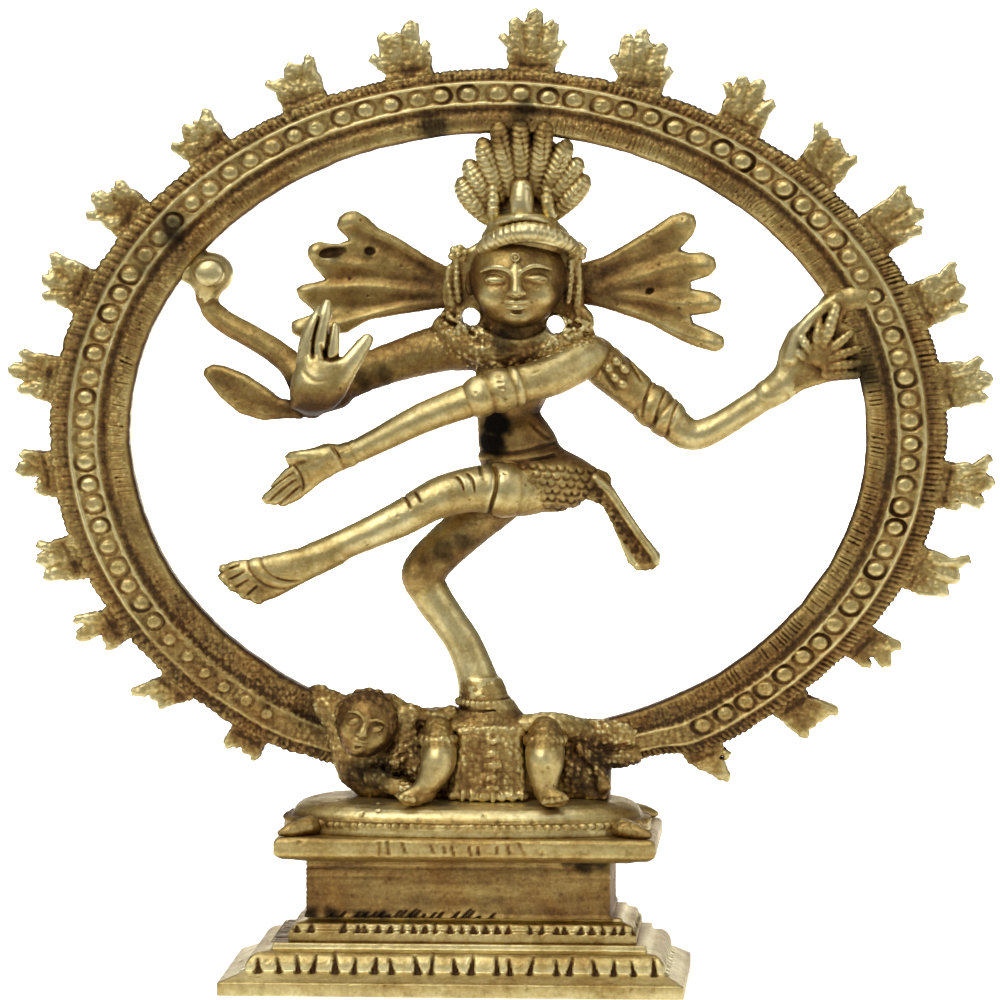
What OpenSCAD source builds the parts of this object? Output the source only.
// Cast brass dancing figure inside a flame-edged ring, on a stepped hollow plinth.
// Millimetres. +Z up, +X to the viewer's right, the front faces -Y.
// Origin: middle of the ring's width, on the surface that the plinth rests on.

/* [Ring] */
// Half width of the ring's opening
ring_in_a = 55.2; // [54.8:0.1:55.6]
// Half height of the ring's opening
ring_in_b = 44.9; // [44.6:0.1:45.2]
// Half width of the ring's outer edge, without the flames
ring_out_a = 67.4; // [67:0.1:68]
// Half height of the ring's outer edge, without the flames
ring_out_b = 54.5; // [54.2:0.1:55]
// Height of the ring's centre above the table
ring_z = 82.6; // [82.4:0.1:82.8]
// Thickness of the ring's plain plate
ring_t = 4.4; // [3.6:0.2:5]
// How far the pearl band stands proud of the plate, front and back
pearl_band_h = 0.9; // [0.4:0.1:1.4]

/* [Flames] */
// Height of a flame at the ring's sides, above the ring's outer edge
flame_h = 7.2; // [6.4:0.1:7.8]
// How much taller the flames are at the very top
flame_top_extra = 2.2; // [0:0.1:2.4]
// Width of each flame at its side points
flame_w = 7.8; // [6:0.2:8.2]
// Thickness of each flame
flame_t = 2.8; // [2:0.2:3.4]

/* [Plinth] */
// Width of the bottom flange
foot_w = 69.2; // [68:0.2:71]
// Depth of the bottom flange
foot_d = 36.0; // [34:0.5:40]
// Width of the neck
neck_w = 45.4; // [44:0.2:47]
// Depth of the neck
neck_d = 21.0; // [20:0.5:24]
// Height of the top of the neck
neck_top_z = 19.4; // [19.4:0.1:19.6]
// Width of the cap slab
cap_w = 56.8; // [55:0.2:58]
// Depth of the cap slab
cap_d = 30.0; // [28:0.5:32]
// Wall thickness of the hollow plinth
wall = 2.6; // [2:0.2:3.4]

/* [Dais] */
// Radius of the spigot that ties the dais to the plinth
spigot_r = 3.0; // [2:0.1:4]
// Length of the spigot under the dais
spigot_l = 6.0; // [5:0.5:9]

/* [Colour] */
// Colour of the brass
brass = "#b9964c"; // ["#b9964c", "#c8a75a", "#a88445"]

/* [Hidden] */
base_x = -4.9;
foot_x = -6.4;
neck_x = -5.65;
cap_x = -4.45;
ring_x = -0.5;
dais_z = 23.2;
seat_z = 28.1;
// where each flame stands round the ring, in degrees from +X
FL = [-62, -48.5, -35, -21.5, -8, 7.5, 20.5, 33, 45, 57.5, 71.5, 85.5, 101, 115, 129.5, 144, 157, 171.5, 186.5, 200, 212, 224.5, 236.5];
RING_START = -76;
RING_END = 250;

// ---------- shared shapes ----------
// A round-ended bar through points [x, y, z, r]; ys squashes it front to back.
module bar(pts, fn = 16, ys = 1)
    for (i = [0 : len(pts) - 2]) hull() {
        translate([pts[i][0], pts[i][1], pts[i][2]]) scale([1, ys, 1]) sphere(pts[i][3], $fn = fn);
        translate([pts[i+1][0], pts[i+1][1], pts[i+1][2]]) scale([1, ys, 1]) sphere(pts[i+1][3], $fn = fn);
    }
// One skin over everything inside it.
module skin() resize([0, 0, 0]) union() children();
// A flat plate from an outline in X and Z, between y0 and y1.
module plate(outline, y0, y1) translate([0, y1, 0]) rotate([90, 0, 0]) linear_extrude(y1 - y0) polygon(outline);
// Points on an ellipse about the ring's centre.
function el(a, b, t) = [ring_x + a * cos(t), ring_z + b * sin(t)];
function ring_a(k) = ring_in_a + (ring_out_a - ring_in_a) * k;
function ring_b(k) = ring_in_b + (ring_out_b - ring_in_b) * k;
// The outer edge draws in a little towards the ring's two feet.
function draw_in(t) = 0.9 * exp(-pow((t + 44) / 22, 2)) + 2.4 / (1 + exp((t + 65) / 1.2)) + 0.9 / (1 + exp((243 - t) / 1.5));
// A strip of the ring between the fractions k0 and k1 of its width.
module strip(k0, k1, y0, y1, t0 = RING_START, t1 = RING_END, n = 96)
    plate(concat([for (i = [0 : n]) let (t = t0 + (t1 - t0) * i / n, d = k1 > 0.9 ? draw_in(t) : 0) el(ring_a(k1) - d, ring_b(k1) - d, t)],
        [for (i = [n : -1 : 0]) el(ring_a(k0), ring_b(k0), t0 + (t1 - t0) * i / n)]), y0, y1);
// A moulding of the same profile on four sides, mitred. prof is [[inset, z], ...] from the bottom up.
// shift moves each level sideways, because the hand-filed steps aren't quite centred on each other.
module mitred(w, d, prof, x = base_x, shift = 0) intersection() {
    plate(concat([for (p = prof) [x - w / 2 + p[0] + shift * p[0] / 10, p[1]]], [for (i = [len(prof) - 1 : -1 : 0]) [x + w / 2 - prof[i][0] + shift * prof[i][0] / 10, prof[i][1]]]), -60, 60);
    translate([-60, 0, 0]) rotate([90, 0, 90]) linear_extrude(120)
        polygon(concat([for (p = prof) [-d / 2 + p[0] * 0.8, p[1]]], [for (i = [len(prof) - 1 : -1 : 0]) [d / 2 - prof[i][0] * 0.8, prof[i][1]]]));
}

// ---------- plinth ----------
module hollow(z0, z1) translate([neck_x - neck_w / 2 + wall, -neck_d / 2 + wall, z0]) cube([neck_w - 2 * wall, neck_d - 2 * wall, z1 - z0]);
module plinth_foot() color(brass) difference() {
    mitred(foot_w, foot_d, [[0, 0], [0, 2], [3.2, 3.4], [3.6, 4.6], [4.4, 5.8], [6.2, 6.2], [6.8, 7.2]], foot_x, 1.6);
    hollow(-1, 20);
}
module plinth_step() color(brass) difference() {
    mitred(foot_w, foot_d, [[8.6, 7.2], [8.6, 8.8], [9.2, 9.8], [10.6, 10.2], [11.2, 10.8]], foot_x, 1.6);
    hollow(-1, 20);
}
module plinth_neck() color(brass) difference() {
    translate([neck_x - neck_w / 2, -neck_d / 2, 10.8]) cube([neck_w, neck_d, neck_top_z - 10.8]);
    hollow(-1, 20);
}
module plinth_cap() color(brass) difference() {
    mitred(cap_w, cap_d, [[4.2, neck_top_z], [1, 20], [0, 20.8], [0, 22.6], [0.8, dais_z]], cap_x);
    translate([base_x, 0, neck_top_z - 1]) cylinder(r = spigot_r, h = 8, $fn = 48);
}

// ---------- dais ----------
module oval(w, d, z, h, n = 56) translate([base_x, 0, z]) linear_extrude(h)
    polygon([for (i = [0 : n - 1]) [w / 2 * sign(cos(360 * i / n)) * pow(abs(cos(360 * i / n)), 0.8), d / 2 * sign(sin(360 * i / n)) * pow(abs(sin(360 * i / n)), 0.8)]]);
module lotus_dais() color(brass) {
    oval(55.4, 27.4, dais_z, 2);
    hull() { oval(52.6, 25.2, dais_z + 2, 0.6); oval(50.6, 23.4, dais_z + 3.2, 0.5); oval(44, 18.6, seat_z - 0.6, 0.6); }
    translate([base_x, 0, dais_z - spigot_l]) cylinder(r = spigot_r, h = spigot_l, $fn = 48);
}
module dais_corner_leaves() color(brass) for (sx = [-1, 1]) for (sy = [-1, 1]) difference() {
    hull() {
        translate([cap_x + sx * 26 - 1.4, sy * 12.2 - 1.4, dais_z]) cube([2.8, 2.8, 0.8]);
        translate([cap_x + sx * 24.8, sy * 11.4, dais_z]) cylinder(r1 = 2.6, r2 = 1, h = 2.4, $fn = 24);
    }
    oval(55.4, 27.4, dais_z - 1, 3.1);
    hull() { oval(52.6, 25.2, dais_z + 2, 0.6); oval(50.6, 23.4, dais_z + 3.2, 0.5); oval(44, 18.6, seat_z - 0.6, 0.6); }
}

// ---------- dwarf under the dancer's foot ----------
DHEAD = [-19.6, -6, 39.4, 4.7];
module dwarf_body_shape() {
    hull() { translate([-23.5, -5, seat_z]) cube([18, 11, 5]); translate([-25.6, -3.4, 40]) cube([10, 7, 2.4]); translate([-13, -5, 36]) cube([8, 9, 2]); }
    hull() { translate([-10, -6, seat_z]) cube([22, 13, 8.6]); translate([-7.5, -4.5, 38]) cube([13, 9, 1.2]); }
    hull() { translate([8, -6, seat_z]) cube([9.2, 11, 8]); translate([5, -4, 36]) cube([13, 7, 3.6]); }
}
module ring_feet(g = 0) strip(-0.001, 1.001, -ring_t / 2 - g, ring_t / 2 + g, RING_START - 0.001, RING_START + 12, 8);
module ring_feet_left(g = 0) strip(-0.001, 1.001, -ring_t / 2 - g, ring_t / 2 + g, RING_END - 14, RING_END + 0.001, 8);
module dwarf_body() color(brass) skin() difference() {
    dwarf_body_shape();
    ring_feet(); ring_feet_left();
    bar([DHEAD, DHEAD + [0, 0.1, 0, 0]], 20);
    dwarf_limbs(); apron_shape(); foot_shape();
}
module dwarf_limbs() { limb_l(); limb_r(); }
module limb_l() bar([[-8.6, -7.2, 37, 2.6], [-8.8, -8.8, 34, 2.5], [-9.9, -9.4, 31.2, 2.1], [-11.8, -10.4, 29.7, 1.6]], 14);
module limb_r() bar([[7.3, -7, 36.8, 3], [7, -8.8, 34, 2.8], [7.4, -9.4, 31, 2.3], [9.4, -10.4, 29.8, 1.7]], 14);
module apron_shape() hull() { translate([-5.6, -7.6, 29.2]) cube([9.2, 3, 1]); translate([-4.6, -7.4, 36.6]) cube([7.4, 3, 1]); }
module dwarf_head() color(brass) translate([DHEAD[0], DHEAD[1], DHEAD[2]]) sphere(DHEAD[3], $fn = 48);
module dwarf_left_limb() color(brass) skin() difference() { limb_l(); translate([-30, -30, seat_z - 5]) cube([60, 60, 5]); dais_top_cut(); }
module dwarf_right_limb() color(brass) skin() difference() { limb_r(); dais_top_cut(); }
module dwarf_apron() color(brass) skin() difference() { apron_shape(); dwarf_limbs(); dais_top_cut(); }
module dais_top_cut() { translate([-60, -60, seat_z - 12]) cube([120, 120, 12]); }

// ---------- ring ----------
module aureole_ring() color(brass) difference() {
    union() {
        strip(0, 1, -ring_t / 2, ring_t / 2);
        strip(0.38, 0.76, -ring_t / 2 - pearl_band_h, ring_t / 2 + pearl_band_h, -62, 238);
    }
}
// A three-pointed flame; its tip leans upwards on the ring's lower half, where it is also shorter near the feet.
function flame_len(t) = flame_h + flame_top_extra * pow(max(0, sin(t)), 6) - 2.4 / (1 + exp((t + 28) / 4)) - 2.2 / (1 + exp((233 - t) / 3));
function flame_lean(t) = -1.2 * cos(t) * (1 - sin(t));
module flame(t) {
    d = draw_in(t);
    p = el(ring_out_a - d, ring_out_b - d, t);
    g = atan2(sin(t) / ring_out_b, cos(t) / ring_out_a);
    h = flame_len(t);
    c = flame_lean(t);
    w = flame_w;
    translate([p[0], flame_t / 2, p[1]]) rotate([90, 0, 0]) linear_extrude(flame_t) rotate(g - 90)
        polygon([[-w * 0.44, -0.6], [-w * 0.43 + c * 0.3, h * 0.3], [-w / 2 + c * 0.6, h * 0.6], [-w * 0.26 + c * 0.6, h * 0.62],
            [-w * 0.2 + c * 0.9, h * 0.84], [c, h], [w * 0.2 + c * 0.9, h * 0.84], [w * 0.26 + c * 0.6, h * 0.62],
            [w / 2 + c * 0.6, h * 0.6], [w * 0.43 + c * 0.3, h * 0.3], [w * 0.44, -0.6]]);
}
module aureole_flames() color(brass) difference() {
    for (t = FL) flame(t);
    strip(0.5, 1, -ring_t, ring_t, -80, 260);
}

// ---------- dancer ----------
torso_s = [[2.6, 0, 93.4, 6.2], [2.0, 0, 88, 5.8], [1.4, 0, 83, 5.6], [1.6, 0, 78.6, 5.4]];
module torso_shape() {
    bar(torso_s, 20, 0.8);
    hull() { translate([-6.6, 0, 94.4]) sphere(3.8, $fn = 18); translate([13.4, 0, 93]) sphere(3.4, $fn = 18); translate([2.6, 0, 90]) scale([1, 0.75, 1]) sphere(6.2, $fn = 18); }
}
module torso() color(brass) skin() difference() { torso_shape(); hip_shape(); collar_cut(); }
hip_s = [[4.6, -1.4, 75.6, 4.4], [9.4, -1.6, 74.8, 4.0], [12.4, -1, 75.4, 2.8]];
module hip_shape() { bar(hip_s, 18); hull() { translate([1.8, 0, 78.6]) scale([1, 0.8, 1]) sphere(5, $fn = 18); translate([4.4, 0, 80.4]) scale([1, 0.8, 1]) sphere(4, $fn = 18); translate([8, -0.6, 75.6]) sphere(4.2, $fn = 18); } }
module hip_cloth() color(brass) skin() hip_shape();
rl = [[2.8, -3.4, 74.5, 4.2], [-4.1, -5, 74.3, 3.5], [-9, -6, 73.2, 3.2], [-14.5, -6.5, 70, 2.9], [-22, -7, 66.4, 2.6], [-27, -7, 64.2, 2.3]];
module rl_shape() bar(rl, 16);
module raised_leg() color(brass) skin() difference() { rl_shape(); hip_shape(); }
module rf_shape() { hull() { translate([-27.4, -7, 63.6]) sphere(2.2, $fn = 16); translate([-33, -7, 61.4]) sphere(2.6, $fn = 16); }
    hull() { translate([-33, -7, 61.4]) sphere(2.6, $fn = 16); translate([-39.8, -7, 61.6]) scale([1, 0.7, 1]) sphere(1.7, $fn = 16); translate([-36.6, -7, 59]) scale([1, 0.7, 1]) sphere(1.7, $fn = 16); } }
module raised_foot() color(brass) skin() difference() { rf_shape(); rl_shape(); }
sl = [[-0.2, 0.8, 72.4, 3.4], [-7.2, 0.8, 66.7, 3.3], [-11.9, 0, 61.3, 3.2], [-9.2, 0, 56.8, 2.8], [-5.8, -0.5, 52, 2.6], [-3.8, -1, 47.5, 2.9], [-2.4, -1.5, 43.2, 3.5]];
module sl_shape() bar(sl, 16);
module standing_leg() color(brass) skin() difference() { sl_shape(); hip_shape(); rl_shape(); torso_shape(); foot_shape(); }
module foot_shape() hull() { translate([-1.9, -1.8, 40.9]) cylinder(r = 4.1, h = 1.2, $fn = 32); translate([-1.6, -2.2, 38.6]) scale([1.5, 1, 1]) cylinder(r = 4.1, h = 1.2, $fn = 32); }
module standing_foot() color(brass) skin() foot_shape();
module sash_end() color(brass) difference() {
    plate([[12.8, 78.2], [16.7, 75.3], [20, 70.8], [23.3, 66.5], [24.5, 63.6], [23.3, 62.4], [20.3, 62.3], [19, 64.7], [16.7, 69.1], [15.5, 72], [12.6, 73.2]], -2.6, 0.8);
    skin() hip_shape();
}
ca = [[12.8, -3, 93.6, 3.2], [7.1, -6.6, 91, 3.0], [0.6, -8.6, 89.4, 2.9], [-3.6, -9.2, 88.4, 2.7], [-11.1, -9, 86, 2.25], [-17.7, -8.5, 82, 1.9], [-22.2, -8, 79.5, 1.75]];
module ca_shape() bar(ca, 16);
module crossing_arm() color(brass) skin() difference() { ca_shape(); torso_shape(); collar_cut(); }
module crossing_hand() color(brass) skin() difference() {
    union() {
        bar([[-23, -8, 79.1, 1.5], [-27.2, -8, 77.4, 2.4], [-30.4, -8, 75.8, 2.2], [-34.2, -8, 73.2, 1.0]], 16, 0.7);
        bar([[-26.6, -8, 79.2, 0.9], [-30.6, -8, 79.4, 0.55]], 14);
    }
    ca_shape();
}
fa = [[15.4, 0, 92.8, 3.2], [20.8, 0, 88.5, 3.1], [25, 0, 85.1, 2.9], [28.5, 0, 82.2, 2.5], [33.4, 0, 84.2, 2.1], [38.9, -0.5, 87.8, 2.1], [41.8, -1, 89.6, 2.1]];
module fa_shape() bar(fa, 16);
module fire_arm() color(brass) skin() difference() { fa_shape(); torso_shape(); ca_shape(); }
module fire_hand() color(brass) skin() difference() {
    hull() { plate([[40.6, 91.4], [41.2, 97.2], [49, 103.4], [53.8, 100.6], [54.4, 92.6], [51, 91], [45.6, 89.5], [42.6, 88.9]], -3.2, 0.6); plate([[42.6, 92], [43, 96.4], [49, 101], [52, 99], [52.4, 93.6], [46, 91]], -4, 1.6); }
    fa_shape();
    strip(0, 1, -ring_t / 2 - 1.2, ring_t / 2 + 1.2);
}
ba = [[-7, 0.6, 95, 3.6], [-14.9, -1, 93.6, 3.4], [-21.9, -2.6, 90.8, 3.0], [-28.3, -4.4, 88.0, 2.8]];
module ba_shape() bar(ba, 16);
module blessing_arm() color(brass) skin() difference() { ba_shape(); torso_shape(); ca_shape(); }
module bh_shape() {
    hull() { translate([-26.8, -7.6, 87.2]) sphere(3, $fn = 16); translate([-26.2, -9.4, 92.6]) scale([1, 0.62, 1]) sphere(3.7, $fn = 16); }
    bar([[-27.2, -9.8, 94.6, 1.3], [-27.2, -9.4, 100, 0.75]], 14);
    bar([[-25.5, -9.8, 94.6, 1.3], [-25.3, -9.4, 101.8, 0.75]], 14);
    bar([[-23.9, -9.8, 94.6, 1.2], [-23.2, -9.4, 100.2, 0.7]], 14);
    bar([[-23.6, -9.6, 92.6, 1.4], [-19.4, -9.2, 97, 0.8]], 14);
}
module blessing_hand() color(brass) skin() difference() { bh_shape(); ba_shape(); }
da = [[-29.4, -3, 88.6, 2.4], [-31, -1.2, 93.6, 1.8], [-36.6, -0.5, 96.8, 1.8], [-41.4, 0, 99.2, 1.7], [-44.2, 0, 101.2, 1.5], [-44.1, 0, 103.6, 1.5]];
module da_shape() bar(da, 14);
module drum_arm() color(brass) skin() difference() { da_shape(); ba_shape(); bh_shape(); drum_shape(); }
module drum_shape() translate([-43.6, 0, 106.7]) sphere(3.7, $fn = 40);
module drum() color(brass) difference() { drum_shape(); strip(0, 1, -ring_t / 2 - 0.001, ring_t / 2 + 0.001); }
module cobra_hood() color(brass) skin() difference() {
    bar([[-30, -3, 86.0, 1.7], [-34.5, -3, 86.4, 2.1], [-38.1, -2.5, 88.3, 2.5], [-41.6, -2, 90.5, 1.9], [-44.2, -2, 92, 0.9]], 14, 0.7);
    ba_shape(); bh_shape(); da_shape();
}

// ---------- head and hair ----------
HC = [2.9, -2.6, 105.3];
module head_shape() translate(HC) scale([0.97, 0.82, 0.97]) sphere(7.1, $fn = 28);
module neck_shape() hull() { translate([2.9, -0.6, 99]) cylinder(r = 3.2, h = 1, $fn = 24); translate([3, 0, 94]) cylinder(r = 4.2, h = 1, $fn = 24); }
module head() color(brass) skin() { head_shape(); }
module collar_plate() plate([[-6.6, 108.4], [-7.9, 104], [-8.4, 101], [-9.6, 98.4], [-8, 95.2], [-2, 92.4], [3.4, 91], [9, 93], [14, 95.4], [13.4, 100.6], [12.6, 104.5], [11.6, 108.6], [10, 109.6], [-4.6, 109.6]], -1.9, 2.2);
module collar_cut() collar_plate();
module collar() color(brass) difference() {
    collar_plate();
    skin() head_shape();
    translate([-4.3, 10, 100.1]) rotate([90, 0, 0]) cylinder(r = 1.35, h = 20, $fn = 32);
    translate([8.4, 10, 99]) rotate([90, 0, 0]) cylinder(r = 1.35, h = 20, $fn = 32);
}
module ear_flowers() color(brass) difference() {
    union() { translate([-6.2, -0.8, 109.6]) sphere(1.5, $fn = 24); translate([11.5, -0.8, 110.2]) sphere(1.6, $fn = 24); }
    collar_plate(); skin() diadem_shape(); skin() head_shape();
}
module diadem_shape() {
    bar([[-3.4, -5, 111.2, 1.25], [0, -6.4, 112.9, 1.25], [3, -6.8, 113.3, 1.25], [6.2, -6.4, 112.9, 1.25], [9.4, -5, 111.2, 1.25]], 14);
    hull() { translate([-3.6, -4.6, 110.6]) cube([13.2, 6, 1]); translate([-1.4, -4, 114.6]) cube([8.6, 5.4, 0.8]); }
}
module diadem() color(brass) skin() difference() { diadem_shape(); head_shape(); collar_plate(); }
PT = [[-6.7, 120.5], [-4.9, 122.9], [-1.6, 125.9], [2.7, 128], [7.2, 128], [10.9, 125], [13, 121.9], [13.3, 118.6]];
PB = [[-1.6, 115.8], [-0.9, 118], [0.7, 119.4], [3, 120], [4.9, 119.8], [6.7, 118.8], [8, 117.2], [8.8, 115.6]];
module crest() color(brass) skin() difference() {
    union() {
        for (i = [0 : 7]) bar([[PB[i][0], 0, PB[i][1], 0.9], [PT[i][0] + (PB[i][0] - PT[i][0]) * 0.12, 0, PT[i][1] + (PB[i][1] - PT[i][1]) * 0.12, 1.3]], 12);
        plate([[-3.4, 114.2], [-5.9, 119.6], [-3.6, 122.4], [-0.8, 125.6], [2.7, 128.4], [7.2, 128.4], [10.2, 125], [12.2, 121.8], [12.4, 118.6], [9.6, 114]], -1.1, 1.6);
        bar([[3.4, -1.6, 115, 1.9], [3.4, -1.4, 120, 1.7]], 16);
    }
    diadem_shape();
    strip(0, 1, -ring_t / 2, ring_t / 2);
}
module hair_locks_left() color(brass) difference() {
    plate([[-7.6, 107.2], [-13.4, 109.8], [-20.3, 114.2], [-21.6, 115.6], [-23.2, 115.5], [-24, 114.2], [-23.4, 111.6], [-27.5, 112], [-28.9, 110.6], [-28.4, 108.4], [-25.9, 105.2], [-30, 104.8],
        [-30.7, 103.4], [-28, 101.1], [-31.8, 99.6], [-31.5, 97.7], [-28.7, 96.8], [-20.7, 98.7], [-7.6, 101.5]], 0.6, 3.4);
    collar_plate();
    skin() { da_shape(); bh_shape(); }
}
module hair_locks_right() color(brass) difference() {
    plate([[12, 107.8], [17.6, 109.8], [24.8, 114], [27, 115.8], [28.6, 115.4], [28.9, 113.8], [27.4, 110.4], [31.1, 110], [32.2, 108.4], [31.2, 106.6], [28.6, 105], [32.3, 103.6], [32.8, 102.2], [31.4, 100.9], [29, 99.6],
        [32.4, 98.2], [33.1, 96.7], [32, 95.4], [28.1, 96.2], [12, 102.2]], 0.6, 3.4);
    collar_plate();
}

plinth_foot();
plinth_step();
plinth_neck();
plinth_cap();
lotus_dais();
dais_corner_leaves();
dwarf_body();
dwarf_head();
dwarf_left_limb();
dwarf_right_limb();
dwarf_apron();
aureole_ring();
aureole_flames();
standing_leg();
standing_foot();
raised_leg();
raised_foot();
hip_cloth();
sash_end();
torso();
crossing_arm();
crossing_hand();
fire_arm();
fire_hand();
blessing_arm();
blessing_hand();
drum_arm();
drum();
cobra_hood();
collar();
head();
ear_flowers();
diadem();
crest();
hair_locks_left();
hair_locks_right();
